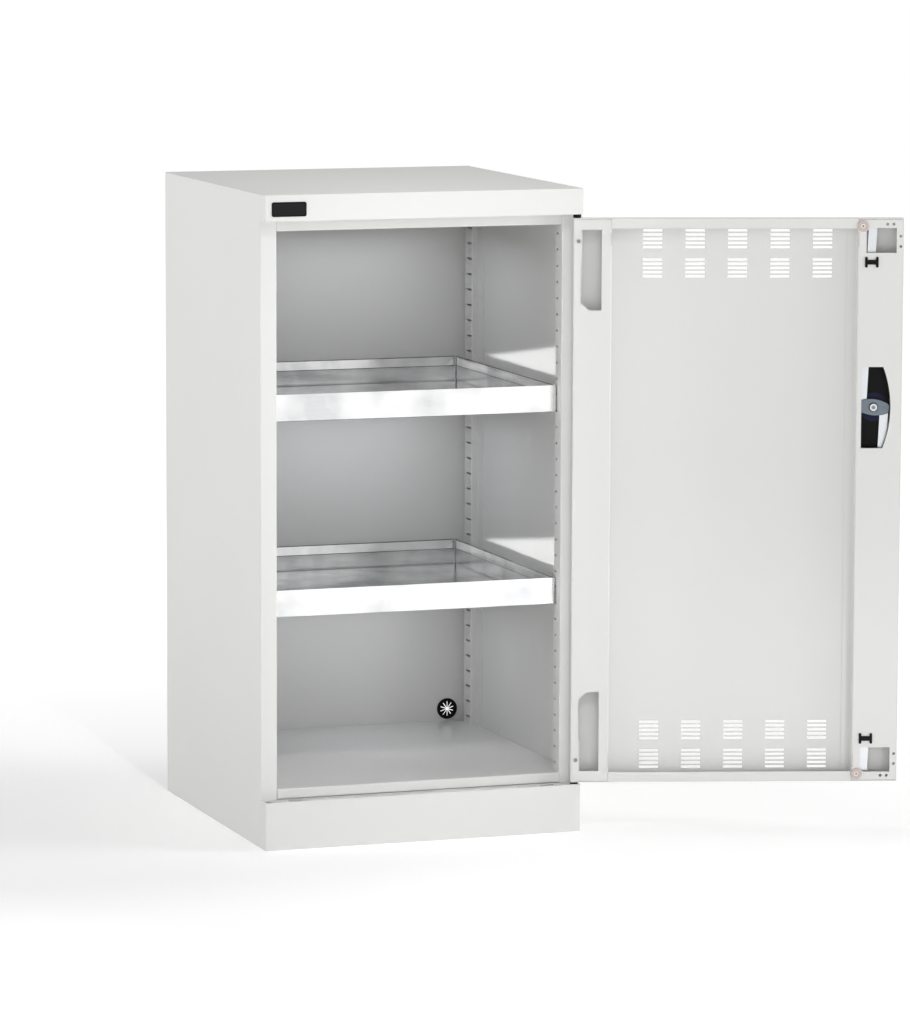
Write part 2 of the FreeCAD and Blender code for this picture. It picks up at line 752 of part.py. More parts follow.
def rod_port(x, z0, z1):
    """The slot through which a lock rod leaves the door."""
    half = ROD_WIDTH / 2 + ROD_PORT_GAP
    return box(x - half, x + half, ROD_OUTER - ROD_PORT_GAP, ROD_INNER + ROD_PORT_GAP, z0, z1)


def rod_points(outward):
    """Where a lock rod is pinned to the cam and where it passes its guide."""
    pin = Vector(SPINDLE_X + outward * CRANK_X, ROD_OUTER, SPINDLE_Z + outward * CRANK_Z)
    end = DOOR_TOP if outward > 0 else DOOR_BOTTOM
    return pin, Vector(GUIDE_X, ROD_OUTER, end - outward * GUIDE_FROM_END)


def rod_line(outward, z):
    """The lock rod's middle at one height: it leans from its pin on the cam to its guide."""
    pin, guide = rod_points(outward)
    return pin.x + (z - pin.z) * (guide.x - pin.x) / (guide.z - pin.z)


def leaning_bar(outward, z0, z1, width, y0, y1):
    """A flat bar along a lock rod's line, cut square to that line at both ends."""
    along = Vector(rod_line(outward, z1) - rod_line(outward, z0), 0, z1 - z0).normalize()
    across = Vector(along.z, 0, -along.x) * (width / 2)
    start = Vector(rod_line(outward, z0), y0, z0)
    finish = Vector(rod_line(outward, z1), y0, z1)
    corners = [start - across, start + across, finish + across, finish - across]
    return Part.Face(Part.makePolygon(corners + corners[:1])).extrude(Vector(0, y1 - y0, 0))


def handle_cutout(y0, y1, grow):
    """A D-shaped block round the handle, grown all round by one margin."""
    straight = DOOR_LEFT + CUTOUT_STRAIGHT + grow
    corner = DOOR_LEFT + CUTOUT_CORNER - grow
    bulge = DOOR_LEFT + CUTOUT_BULGE - grow
    low = SPINDLE_Z - CUTOUT_HEIGHT / 2 - grow
    high = SPINDLE_Z + CUTOUT_HEIGHT / 2 + grow
    top = [Vector(straight, y0, high), Vector(corner, y0, high)]
    bottom = [Vector(corner, y0, low), Vector(straight, y0, low)]
    edges = [
        Part.makeLine(bottom[1], top[0]),
        Part.makeLine(top[0], top[1]),
        Part.Arc(top[1], Vector(bulge, y0, SPINDLE_Z), bottom[0]).toShape(),
        Part.makeLine(bottom[0], bottom[1]),
    ]
    return Part.Face(Part.Wire(edges)).extrude(Vector(0, y1 - y0, 0))


def channel_length():
    """The door's two channels stop just short of its turned-in ends."""
    return DOOR_TOP - DOOR_BOTTOM - 2 * (SHEET + CHANNEL_END_GAP)


def hinge_channel():
    """Folded channel down the hinge side, with a window over each hinge pin."""
    right = DOOR_RIGHT - SHEET - SEAM / 2
    left = DOOR_RIGHT - HINGE_CHANNEL
    foot = SKIN_INNER + SEAM / 2
    path = [
        (right, DOOR_INNER),
        (left, DOOR_INNER),
        (left, foot),
        (left + HINGE_CHANNEL_RETURN, foot),
    ]
    channel = folded_sheet(path, SHEET, channel_length())
    channel.translate(Vector(0, 0, DOOR_BOTTOM + SHEET + CHANNEL_END_GAP))
    cuts = []
    for end, inward in ((DOOR_TOP, -1), (DOOR_BOTTOM, 1)):
        cuts.append(hinge_window(end, inward))
        cuts.append(relief(left - OVERRUN, left + RELIEF_DEPTH, end, inward))
        x = DOOR_RIGHT - PIN_SCREW_EDGE
        z = end + inward * PIN_SCREW_END
        cuts.append(rod_y(x, z, PIN_SCREW, DOOR_INNER - SHEET - OVERRUN, DOOR_INNER + OVERRUN))
    return drilled(channel, cuts)


def relief(x0, x1, end, inward):
    """A shallow notch in a channel's long edge near the door's end."""
    near = end + inward * RELIEF_END
    far = near + inward * RELIEF_HEIGHT
    return box(x0, x1, DOOR_INNER - BEND, DOOR_INNER + OVERRUN, near, far)


def hinge_window(end, inward):
    """Window with a stepped and chamfered corner, on the side away from the door's end."""
    x0 = DOOR_RIGHT - HINGE_WINDOW_INSET
    x1 = x0 - HINGE_WINDOW_WIDTH
    near = end + inward * HINGE_WINDOW_END
    far = near + inward * HINGE_WINDOW_HEIGHT
    c = HINGE_WINDOW_CHAMFER
    step = x0 - HINGE_WINDOW_STEP
    shoulder = far - inward * c
    outline = [(x1, near), (x0, near), (x0, shoulder), (step, shoulder), (step - c, far), (x1, far)]
    return face_opening(outline)


def face_opening(outline):
    """An opening through the door's inner face, from its corners in the XZ plane."""
    y = DOOR_INNER - SHEET - SEAM
    corners = [Vector(x, y, z) for x, z in outline]
    return Part.Face(Part.makePolygon(corners + corners[:1])).extrude(Vector(0, SHEET + 2 * SEAM, 0))


def lock_channel():
    """Folded channel down the lock side, with windows, handle cut-out and guide holes."""
    left = DOOR_LEFT + SHEET + SEAM / 2
    right = DOOR_LEFT + LOCK_CHANNEL
    foot = SKIN_INNER + SEAM / 2
    path = [
        (left, DOOR_INNER - SHEET),
        (right - SHEET, DOOR_INNER - SHEET),
        (right - SHEET, foot),
        (right + LOCK_CHANNEL_FOOT, foot),
    ]
    channel = folded_sheet(path, SHEET, channel_length())
    channel.translate(Vector(0, 0, DOOR_BOTTOM + SHEET + CHANNEL_END_GAP))
    cuts = [handle_cutout(DOOR_INNER - OVERRUN, DOOR_INNER + OVERRUN, 0)]
    for end, inward in ((DOOR_TOP, -1), (DOOR_BOTTOM, 1)):
        cuts.append(lock_window(end, inward))
        cuts.append(relief(right - RELIEF_DEPTH, right + OVERRUN, end, inward))
        z = end + inward * GUIDE_FROM_END
        half_x = GUIDE_NECK / 2 + GUIDE_FIT
        half_z = GUIDE_NECK_HEIGHT / 2 + GUIDE_FIT
        through = (DOOR_INNER - SHEET - OVERRUN, DOOR_INNER + OVERRUN)
        cuts.append(box(GUIDE_X - half_x, GUIDE_X + half_x, *through, z - half_z, z + half_z))
        pad_z = end + inward * PAD_FROM_END
        cuts.append(rod_y(DOOR_LEFT + PAD_FROM_EDGE, pad_z, PAD_STEM, *through))
        for edge in TOOL_HOLES_FROM_EDGE:
            cuts.append(rod_y(DOOR_LEFT + edge, end + inward * TOOL_HOLE_END, TOOL_HOLE, *through))
        for deep in TOOL_HOLES_FROM_END:
            cuts.append(rod_y(DOOR_LEFT + TOOL_HOLE_SIDE, end + inward * deep, TOOL_HOLE, *through))
    return drilled(channel, cuts)


def lock_window(end, inward):
    """Small window over a rod's end, chamfered where the buffer pad sits."""
    x0 = DOOR_LEFT + LOCK_WINDOW_INSET
    x1 = x0 + LOCK_WINDOW_WIDTH
    near = end + inward * LOCK_WINDOW_END
    far = near + inward * LOCK_WINDOW_HEIGHT
    c = LOCK_WINDOW_CHAMFER
    return face_opening([(x0, near), (x1 - c, near), (x1, near + inward * c), (x1, far), (x0, far)])


def hinge_pin(end, outward):
    """Steel pin that stands out of the door's end into its bush."""
    gap = DOOR_TOP_GAP if outward > 0 else DOOR_BOTTOM_GAP
    tip = end + outward * (gap + PIN_INTO_BUSH)
    root = end - outward * PIN_BURIED
    pin = rod_z(PIVOT_X, PIVOT_Y, PIN_DIAMETER, min(tip, root), max(tip, root))
    rim = [e for e in pin.Edges if abs(e.BoundBox.ZMin - tip) < SEAM and e.BoundBox.ZLength < SEAM]
    return pin.makeChamfer(SHEET, rim)


def hinge_pin_block(end, outward):
    """Steel block inside the hinge channel that holds the pin and takes its screw."""
    near = end - outward * (SHEET + SEAM)
    far = near - outward * PIN_BLOCK_HEIGHT
    right = DOOR_RIGHT - SHEET - PIN_BLOCK_GAP
    inner = DOOR_INNER - SHEET - SEAM / 2
    block = box(right - PIN_BLOCK_WIDTH, right, inner - PIN_BLOCK_DEPTH, inner, near, far)
    root = end - outward * PIN_BURIED
    low, high = min(root, end), max(root, end)
    bore = rod_z(PIVOT_X, PIVOT_Y, PIN_DIAMETER, low, high)
    x = DOOR_RIGHT - PIN_SCREW_EDGE
    z = end - outward * PIN_SCREW_END
    tapped = rod_y(x, z, PIN_SCREW, DOOR_INNER - PIN_SCREW_LENGTH, DOOR_INNER)
    return drilled(block, [bore, tapped])


def hinge_pin_screws():
    """One pan-head screw through the channel into each pin block."""
    screws = []
    for end, inward in ((DOOR_TOP, -1), (DOOR_BOTTOM, 1)):
        x = DOOR_RIGHT - PIN_SCREW_EDGE
        z = end + inward * PIN_SCREW_END
        shank = rod_y(x, z, PIN_SCREW, DOOR_INNER - PIN_SCREW_LENGTH, DOOR_INNER)
        head = rod_y(x, z, PIN_SCREW_HEAD, DOOR_INNER, DOOR_INNER + PIN_SCREW_HEAD_THICK)
        screws.append(joined(shank, head))
    return Part.makeCompound(screws)


def hinge_bush(level, inward, gap):
    """Plastic bush in a flange: a collar in the gap beside the door and a barrel beyond."""
    collar_end = level - inward * (gap - BUSH_GAP)
    barrel_end = level + inward * BUSH_DEPTH
    collar = rod_z(PIVOT_X, PIVOT_Y, BUSH_COLLAR, min(level, collar_end), max(level, collar_end))
    barrel = rod_z(PIVOT_X, PIVOT_Y, BUSH_BARREL, min(level, barrel_end), max(level, barrel_end))
    low, high = min(collar_end, barrel_end), max(collar_end, barrel_end)
    bore = rod_z(PIVOT_X, PIVOT_Y, PIN_DIAMETER + 2 * PIN_FIT, low - OVERRUN, high + OVERRUN)
    return joined(collar, barrel).cut(bore)


def handle_tub():
    """Recessed D-shaped cup in the door's face, with a rim outside and lugs behind the skin."""
    rim = handle_cutout(DOOR_OUTER - TUB_FLANGE_THICK, DOOR_OUTER, TUB_FLANGE)
    outside = [e for e in rim.Edges if e.BoundBox.YMax < DOOR_OUTER - TUB_FLANGE_THICK + SEAM]
    rim = rim.makeFillet(TUB_FLANGE_THICK / 2, outside)
    cup = stepped_cup(0, TUB_ROUND, TUB_BACK)
    hollow = stepped_cup(-TUB_WALL, TUB_ROUND - 2 * TUB_WALL, TUB_FRONT)
    middle = DOOR_LEFT + (CUTOUT_STRAIGHT + CUTOUT_CORNER) / 2
    lugs = []
    for side in (-1, 1):
        z = SPINDLE_Z + side * CUTOUT_HEIGHT / 2
        lugs.append(
            box(
                middle - TUB_LUG / 2,
                middle + TUB_LUG / 2,
                SKIN_INNER + SEAM,
                SKIN_INNER + SEAM + TUB_LUG_THICK,
                z - side * TUB_WALL,
                z + side * TUB_LUG_REACH,
            )
        )
    bore = SPINDLE_DIAMETER + 2 * PIN_FIT
    shaft = rod_y(SPINDLE_X, SPINDLE_Z, bore, TUB_FRONT - OVERRUN, TUB_BACK + OVERRUN)
    return joined(rim, cup, *lugs).cut(hollow).cut(shaft)


def stepped_cup(grow, round_part, back):
    """The D-shaped cup, and a round part that reaches one step deeper about the spindle."""
    front = DOOR_OUTER - TUB_FLANGE_THICK
    shallow = handle_cutout(front, back - TUB_STEP, grow)
    deep = handle_cutout(front, back, grow)
    disc = rod_y(SPINDLE_X, SPINDLE_Z, round_part, front, back)
    return joined(shallow, deep.common(disc))


def handle_face():
    """The outermost plane of the handle's grip."""
    return TUB_FRONT - HANDLE_GAP - HANDLE_BASE_THICK - HANDLE_GRIP_HEIGHT


def turn_handle():
    """Round handle with two flanks cut away to leave a grip, bored for spindle and cylinder."""
    back = TUB_FRONT - HANDLE_GAP
    base = back - HANDLE_BASE_THICK
    face = handle_face()
    disc = rod_y(SPINDLE_X, SPINDLE_Z, HANDLE_BASE, base, back)
    grip = rod_y(SPINDLE_X, SPINDLE_Z, HANDLE_BASE - BEND, face, base)
    half = HANDLE_GRIP_WIDTH / 2
    reach = HANDLE_BASE
    flanks = [
        box(SPINDLE_X + half, SPINDLE_X + reach, face - OVERRUN, base, SPINDLE_Z - reach, SPINDLE_Z + reach),
        box(SPINDLE_X - half, SPINDLE_X - reach, face - OVERRUN, base, SPINDLE_Z - reach, SPINDLE_Z + reach),
    ]
    grip = drilled(grip, flanks)
    grip = grip.makeFillet(BEND - SEAM, [e for e in grip.Edges if e.BoundBox.YMax < face + SEAM])
    bores = [
        rod_y(SPINDLE_X, SPINDLE_Z, CYLINDER_SHELL, face - OVERRUN, face + PLUG_DEPTH),
        rod_y(SPINDLE_X, SPINDLE_Z, SPINDLE_DIAMETER, face + PLUG_DEPTH, back + OVERRUN),
    ]
    return drilled(joined(disc, grip), bores)


def spindle():
    """Steel spindle from the handle to the cam, thinner where the cam and nut sit."""
    thick = rod_y(SPINDLE_X, SPINDLE_Z, SPINDLE_DIAMETER, handle_face() + PLUG_DEPTH, CAM_OUTER)
    thin = rod_y(SPINDLE_X, SPINDLE_Z, SPINDLE_TAIL, CAM_OUTER, NUT_INNER + SPINDLE_PROUD)
    return joined(thick, thin)


def lock_cylinder():
    """Chromed shell round the key plug."""
    face = handle_face()
    shell = rod_y(SPINDLE_X, SPINDLE_Z, CYLINDER_SHELL, face - PLUG_PROUD, face + PLUG_DEPTH)
    shell = shell.makeChamfer(PLUG_PROUD / 2, [e for e in shell.Edges if e.BoundBox.YMax < face])
    bottom = face + KEYWAY_DEPTH + SHEET
    bore = rod_y(SPINDLE_X, SPINDLE_Z, PLUG_DIAMETER + 2 * PIN_FIT, face - OVERRUN, bottom)
    return shell.cut(bore)


def key_plug():
    """The plug that the key turns, with its keyway."""
    face = handle_face()
    outer = face - PLUG_PROUD
    plug = rod_y(SPINDLE_X, SPINDLE_Z, PLUG_DIAMETER, outer, face + KEYWAY_DEPTH + SHEET - SEAM)
    keyway = box(
        SPINDLE_X - KEYWAY_WIDTH / 2,
        SPINDLE_X + KEYWAY_WIDTH / 2,
        outer - OVERRUN,
        outer + KEYWAY_DEPTH,
        SPINDLE_Z - KEYWAY_LENGTH / 2,
        SPINDLE_Z + KEYWAY_LENGTH / 2,
    )
    return plug.cut(keyway)


def lock_cam():
    """Lens-shaped cam with blunt ends across the spindle, with a hexagon pocket for the nut."""
    half = CAM_LENGTH / 2
    tall = CAM_HEIGHT / 2
    blunt = CAM_END / 2
    y = CAM_OUTER
    corners = [
        Vector(SPINDLE_X - half, y, SPINDLE_Z - blunt),
        Vector(SPINDLE_X - half, y, SPINDLE_Z + blunt),
        Vector(SPINDLE_X + half, y, SPINDLE_Z + blunt),
        Vector(SPINDLE_X + half, y, SPINDLE_Z - blunt),
    ]
    edges = [
        Part.makeLine(corners[0], corners[1]),
        Part.Arc(corners[1], Vector(SPINDLE_X, y, SPINDLE_Z + tall), corners[2]).toShape(),
        Part.makeLine(corners[2], corners[3]),
        Part.Arc(corners[3], Vector(SPINDLE_X, y, SPINDLE_Z - tall), corners[0]).toShape(),
    ]
    cam = Part.Face(Part.Wire(edges)).extrude(Vector(0, CAM_THICK, 0))
    tips = [e for e in cam.Edges if e.BoundBox.XLength + e.BoundBox.ZLength < SEAM]
    cam = cam.makeFillet(blunt - SEAM, tips)
    cam = cam.makeChamfer(SHEET / 2, [e for e in cam.Edges if e.BoundBox.YMin > CAM_INNER - SEAM])
    pocket = hexagon(CAM_POCKET, CAM_INNER - CAM_POCKET_DEPTH, CAM_INNER + OVERRUN, 0)
    cam = cam.cut(pocket).cut(rod_y(SPINDLE_X, SPINDLE_Z, SPINDLE_TAIL, y - OVERRUN, CAM_INNER + OVERRUN))
    return tilted_with_cam(cam)


def tilted_with_cam(shape):
    """Turn a piece about the spindle to the cam's place at rest."""
    return shape.rotated(Vector(SPINDLE_X, 0, SPINDLE_Z), Vector(0, 1, 0), -CAM_TILT)


def hexagon(across, y0, y1, first_corner):
    """A six-sided prism about the spindle, with one corner at the given angle from upright."""
    radius = across / math.sqrt(3)
    corners = []
    for i in range(6):
        angle = math.radians(first_corner + 60 * i)
        corners.append(Vector(SPINDLE_X + radius * math.sin(angle), y0, SPINDLE_Z + radius * math.cos(angle)))
    return Part.Face(Part.makePolygon(corners + corners[:1])).extrude(Vector(0, y1 - y0, 0))


def cam_rivets():
    """Rivet heads on the cam's face, over the eyes of the two rods."""
    heads = []
    for side in (-1, 1):
        x = SPINDLE_X + side * CAM_THROW
        heads.append(rod_y(x, SPINDLE_Z, CAM_RIVET, CAM_INNER, CAM_INNER + CAM_RIVET_THICK))
    return tilted_with_cam(Part.makeCompound(heads))


def cam_washer():
    """Washer at the bottom of the cam's pocket."""
    ring = rod_y(SPINDLE_X, SPINDLE_Z, WASHER, WASHER_OUTER, WASHER_INNER)
    return ring.cut(rod_y(SPINDLE_X, SPINDLE_Z, SPINDLE_TAIL, WASHER_OUTER - OVERRUN, WASHER_INNER + OVERRUN))


def cam_nut():
    """Thin hexagon nut on the spindle's end, rounded off at its outer corners."""
    nut = hexagon(NUT_ACROSS, WASHER_INNER, NUT_INNER, CAM_TILT)
    wide = NUT_ACROSS / math.sqrt(3)
    centre = Vector(SPINDLE_X, WASHER_INNER, SPINDLE_Z)
    cone = Part.makeCone(wide + NUT_THICK / 4, wide - NUT_THICK / 4, NUT_THICK, centre, Vector(0, 1, 0))
    nut = nut.common(cone)
    return nut.cut(rod_y(SPINDLE_X, SPINDLE_Z, SPINDLE_TAIL, WASHER_INNER - OVERRUN, NUT_INNER + OVERRUN))


def lock_rod(outward):
    """Flat rod from its pin on the cam, through its guide, to just inside the door's end."""
    pin, guide = rod_points(outward)
    tip = (DOOR_TOP if outward > 0 else DOOR_BOTTOM) - outward * ROD_REST_GAP
    tail = pin.z - outward * ROD_EYE_END
    bar = leaning_bar(outward, tail, tip, ROD_WIDTH, ROD_OUTER, ROD_INNER)
    ends = [e for e in bar.Edges if e.BoundBox.YLength > ROD_THICK - SEAM]
    bar = bar.makeFillet(ROD_WIDTH / 4, ends)
    return bar.cut(rod_y(pin.x, pin.z, ROD_EYE, ROD_OUTER - OVERRUN, ROD_INNER + OVERRUN))


def rod_guide(outward):
    """H-shaped plastic guide clipped through the channel, with a slot for the rod behind."""
    z = rod_points(outward)[1].z
    inner = DOOR_INNER + GUIDE_THICK
    half = GUIDE_WIDTH / 2
    tall = GUIDE_HEIGHT / 2
    bars = []
    for x in (GUIDE_X - half, GUIDE_X + half - GUIDE_BAR):
        bar = box(x, x + GUIDE_BAR, DOOR_INNER, inner, z - tall, z + tall)
        corners = [e for e in bar.Edges if e.BoundBox.XLength + e.BoundBox.ZLength < SEAM]
        bars.append(bar.makeFillet(GUIDE_BAR / 2 - SEAM, corners))
    bridge = GUIDE_BRIDGE / 2
    reach = half - GUIDE_BAR / 2
    plate = box(GUIDE_X - reach, GUIDE_X + reach, DOOR_INNER, inner, z - bridge, z + bridge)
    behind = DOOR_INNER - SHEET - SEAM
    wide = GUIDE_NECK / 2
    high = GUIDE_NECK_HEIGHT / 2
    neck = box(GUIDE_X - wide, GUIDE_X + wide, behind, DOOR_INNER, z - high, z + high)
    slot_width = ROD_WIDTH + 2 * GUIDE_FIT
    block_half = slot_width / 2 + GUIDE_BLOCK_WALL
    block_tall = GUIDE_BLOCK_HEIGHT / 2
    far = ROD_OUTER - GUIDE_FIT - GUIDE_BLOCK_WALL
    block = box(GUIDE_X - block_half, GUIDE_X + block_half, far, behind, z - block_tall, z + block_tall)
    y0, y1 = ROD_OUTER - GUIDE_FIT, ROD_INNER + GUIDE_FIT
    slot = leaning_bar(outward, z - tall, z + tall, slot_width, y0, y1)
    return joined(*bars, plate, neck, block).cut(slot)


def buffer_pad(end, inward):
    """Soft round pad plugged into the channel, with a dimple in its middle."""
    x = DOOR_LEFT + PAD_FROM_EDGE
    z = end + inward * PAD_FROM_END
    face = DOOR_INNER + PAD_THICK
    head = rod_y(x, z, PAD_DIAMETER, DOOR_INNER, face)
    head = head.makeFillet(PAD_THICK / 2, [e for e in head.Edges if e.BoundBox.YMin > face - SEAM])
    stem = rod_y(x, z, PAD_STEM, DOOR_INNER - PAD_STEM_LENGTH, DOOR_INNER)
    dimple = rod_y(x, z, PAD_DIMPLE, face - PAD_DIMPLE_DEPTH, face + OVERRUN)
    return joined(head, stem).cut(dimple)


CARCASS = {
    "left_side_panel": left_side_panel,
    "right_side_panel": right_side_panel,
    "back_panel": back_panel,
    "top_cover": top_cover,
    "top_front_rail": top_front_rail,
    "floor_panel": floor_panel,
    "plinth_front": plinth_front,
    "plinth_screws": plinth_screws,
    "front_left_upright": front_left_upright,
    "front_right_upright": front_right_upright,
    "rear_left_upright": rear_left_upright,
    "rear_right_upright": rear_right_upright,
    "cable_grommet": cable_grommet,
    "blank_badge": fascia_badge,
    "upper_hinge_bush": lambda: hinge_bush(FASCIA_LEVEL, 1, DOOR_TOP_GAP),
    "lower_hinge_bush": lambda: hinge_bush(PLINTH_HEIGHT, -1, DOOR_BOTTOM_GAP),
    "upper_tray": lambda: tray(TRAY_RIM_TOP),
    "lower_tray": lambda: tray(TRAY_RIM_TOP - TRAY_SPACING),
    "upper_tray_hooks": lambda: tray_hooks(TRAY_RIM_TOP),
    "lower_tray_hooks": lambda: tray_hooks(TRAY_RIM_TOP - TRAY_SPACING),
}

DOOR = {
    "door_skin": door_skin,
    "hinge_channel": hinge_channel,
    "lock_channel": lock_channel,
    "upper_hinge_pin": lambda: hinge_pin(DOOR_TOP, 1),
    "lower_hinge_pin": lambda: hinge_pin(DOOR_BOTTOM, -1),
    "upper_pin_block": lambda: hinge_pin_block(DOOR_TOP, 1),
    "lower_pin_block": lambda: hinge_pin_block(DOOR_BOTTOM, -1),
    "hinge_pin_screws": hinge_pin_screws,
    "handle_tub": handle_tub,
    "turn_handle": turn_handle,
    "spindle": spindle,
    "lock_cylinder": lock_cylinder,
    "key_plug": key_plug,
    "lock_cam": lock_cam,
    "cam_rivets": cam_rivets,
    "cam_washer": cam_washer,
    "cam_nut": cam_nut,
    "upper_lock_rod": lambda: lock_rod(1),
    "lower_lock_rod": lambda: lock_rod(-1),
    "upper_rod_guide": lambda: rod_guide(1),
    "lower_rod_guide": lambda: rod_guide(-1),
    "upper_buffer_pad": lambda: buffer_pad(DOOR_TOP, -1),
    "lower_buffer_pad": lambda: buffer_pad(DOOR_BOTTOM, 1),
}


def main():
    os.makedirs("parts", exist_ok=True)
    for name, make in CARCASS.items():
        make().exportStep("parts/" + name + ".step")
    for name, make in DOOR.items():
        swung(make()).exportStep("parts/" + name + ".step")


main()
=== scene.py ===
"""Looks of a narrow sheet-steel cabinet with an open door and two galvanised tray shelves.

Metres, +Z up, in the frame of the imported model. Colours are sRGB hex codes, and every pattern is scaled
from a real size in millimetres.
"""

import bpy
import json
import math
from mathutils import Matrix, Vector


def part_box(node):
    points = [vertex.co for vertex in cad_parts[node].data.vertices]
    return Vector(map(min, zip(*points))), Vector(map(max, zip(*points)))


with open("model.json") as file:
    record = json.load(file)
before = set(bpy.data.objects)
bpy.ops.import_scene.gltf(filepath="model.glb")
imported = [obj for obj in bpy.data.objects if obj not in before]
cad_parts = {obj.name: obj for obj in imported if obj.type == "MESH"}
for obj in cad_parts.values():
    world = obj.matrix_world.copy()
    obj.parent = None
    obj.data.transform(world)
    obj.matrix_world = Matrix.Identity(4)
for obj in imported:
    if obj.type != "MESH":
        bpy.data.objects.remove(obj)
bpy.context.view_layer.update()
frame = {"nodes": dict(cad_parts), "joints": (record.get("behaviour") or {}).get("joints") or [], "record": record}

# Camera: focal length and turns fitted to the photograph's frame
FRAME_LONG_SIDE = 1024
FOCAL_PIXELS = 5356.5
SENSOR_MM = 36.0
YAW = math.radians(19.412)
PITCH = math.radians(7.588)
ROLL = math.radians(-0.185)
ORIGIN_FROM_CAMERA = Vector((-0.0551, 8.2636, -0.5032))

# Studio: strengths are radiance, where 1 is the white of the picture, and distances are metres
HORIZON_GLOW = 1.04
ZENITH_GLOW = 0.0
FLOOR_HALF = 200.0
FLOOR_WHITE = "F4F4F4"
FLOOR_NEAR = 0.7
FLOOR_FAR = 2.6
FLOOR_GLOW_NEAR = 0.27
FLOOR_GLOW_FAR = 0.7
FLOOR_FRONT_START = -0.18
FLOOR_FRONT_FULL = -0.45
FLOOR_GLOW_FRONT = 0.12

# Lamps: those with a grid light one part only
CABINET_MIDDLE = (0.1, 0.2, 0.5)
GRID_SPREAD = math.radians(16)
FILL_TINT = "F6F7FF"
FILL_X = 0.03
FILL_Y = 0.33
FILL_HEIGHTS = {"upper": 0.9, "middle": 0.62, "lower": 0.31}
FILL_POWERS = {"upper": 0.32, "middle": 0.35, "lower": 0.24}

# The wedge of light on the right wall above each tray
GLEAM_FROM_WALL_X = 0.205
GLEAM_Y = 0.25
GLEAM_RISE = 0.022
GLEAM_LENGTH = 0.36
GLEAM_HEIGHT = 0.045
GLEAM_SLOPE = math.radians(7.6)
GLEAM_TILT = math.radians(14)
GLEAM_SPREAD = math.radians(12)
GLEAM_POWER = 0.043

# Colours of sheet and mouldings
POWDER_GREY = "DDDDDB"
POWDER_GREY_DEEP = "DADAD8"
ZINC_SKIN = "F2F2F2"
ZINC_DULL = "B8BABC"
# The next two colours are painted shade in a tray: dark lines at its rim and under its hem, then a darker floor
ZINC_PAINTED_SHADE_LINE = "6A6C6E"
ZINC_FLOOR_PAINTED_SHADE = "E2E3E4"
NYLON_BLACK = "0A0809"
NYLON_NAVY = "1B1E38"
RUBBER_BLACK = "101010"
ENAMEL_RIM = "030303"
ENAMEL_FIELD = "181818"
PAD_BEIGE = "C1B4AD"
PAD_PALE = "F2EEEA"
PAD_DIMPLE_BEIGE = "A8978E"
WHITE = "FFFFFF"

# How strongly dark mouldings mirror the white room, where 0.5 is the usual share
DARK_SHINE = 0.15

# Patterns of the paint and of the zinc, in millimetres
PAINT_CLOUD = 180
PEEL_WIDTH = 4
ZINC_CRYSTAL = 7
ZINC_CRYSTAL_DEPTH = 0.15
ZINC_BLOTCH = 70
MILL_STREAK = (300, 60, 5)
MILL_STREAK_DEPTH = 0.2
BUCKLE_WIDTH = 110
BUCKLE_DEPTH = 4

# Details drawn by a finish, in millimetres
BOSS_DIAMETER = 45.0
BADGE_RIM = 2.0
PAD_DIMPLE = 2.1
PAD_RING = 4.0
TRAY_HEM = 15.0
TRAY_EDGE = 1.2
HEM_SPRING = 2.6

# Sockets of a colour mix
MIX_FACTOR = 0
MIX_FIRST = 6
MIX_SECOND = 7
MIX_RESULT = 2


def srgb(code):
    """An sRGB hex code as linear red, green, blue and alpha."""
    channels = [int(code[i : i + 2], 16) / 255 for i in (0, 2, 4)]
    linear = [c / 12.92 if c <= 0.04045 else ((c + 0.055) / 1.055) ** 2.4 for c in channels]
    return (*linear, 1.0)


def scale_for(size_mm):
    """The texture scale that draws one cell of a pattern in so many millimetres."""
    return 1000 / size_mm


def add(tree, kind, settings=None, inputs=None):
    """Add a node with its settings, and give each input a value or link it to another node's output."""
    node = tree.nodes.new(kind)
    for name, value in (settings or {}).items():
        setattr(node, name, value)
    for key, value in (inputs or {}).items():
        if isinstance(value, bpy.types.NodeSocket):
            tree.links.new(value, node.inputs[key])
        else:
            node.inputs[key].default_value = value
    return node


def start_material(name, colour, metallic, roughness):
    """A new material, its node tree and its shader, with the values that are even all over."""
    material = bpy.data.materials.new(name)
    material.use_nodes = True
    tree = material.node_tree
    shader = tree.nodes["Principled BSDF"]
    shader.inputs["Base Color"].default_value = srgb(colour)
    shader.inputs["Metallic"].default_value = metallic
    shader.inputs["Roughness"].default_value = roughness
    return material, tree, shader


def band_colours(ramp, bands):
    """Cut a colour ramp into bands: each has the share of the ramp where it starts, and its colour."""
    ramp.interpolation = "CONSTANT"
    ramp.elements[0].color = srgb(bands[0][1])
    ramp.elements[1].color = srgb(bands[-1][1])
    ramp.elements[1].position = bands[-1][0]
    for start, colour in bands[1:-1]:
        ramp.elements.new(start).color = srgb(colour)


def inside_rectangle(tree, place, box, axes, rim_mm=0.0):
    """A socket that is 1 inside a box, less a rim, as seen along its third axis, and 0 elsewhere."""
    low, high = box
    parts = add(tree, "ShaderNodeSeparateXYZ", inputs={"Vector": place})
    found = []
    for name in axes:
        axis = "XYZ".index(name)
        middle = (low[axis] + high[axis]) / 2
        reach = (high[axis] - low[axis]) / 2 - rim_mm / 1000
        within = add(
            tree,
            "ShaderNodeMath",
            {"operation": "COMPARE"},
            {0: parts.outputs[name], 1: middle, 2: reach},
        )
        found.append(within.outputs["Value"])
    both = add(tree, "ShaderNodeMath", {"operation": "MULTIPLY"}, {0: found[0], 1: found[1]})
    return both.outputs["Value"]


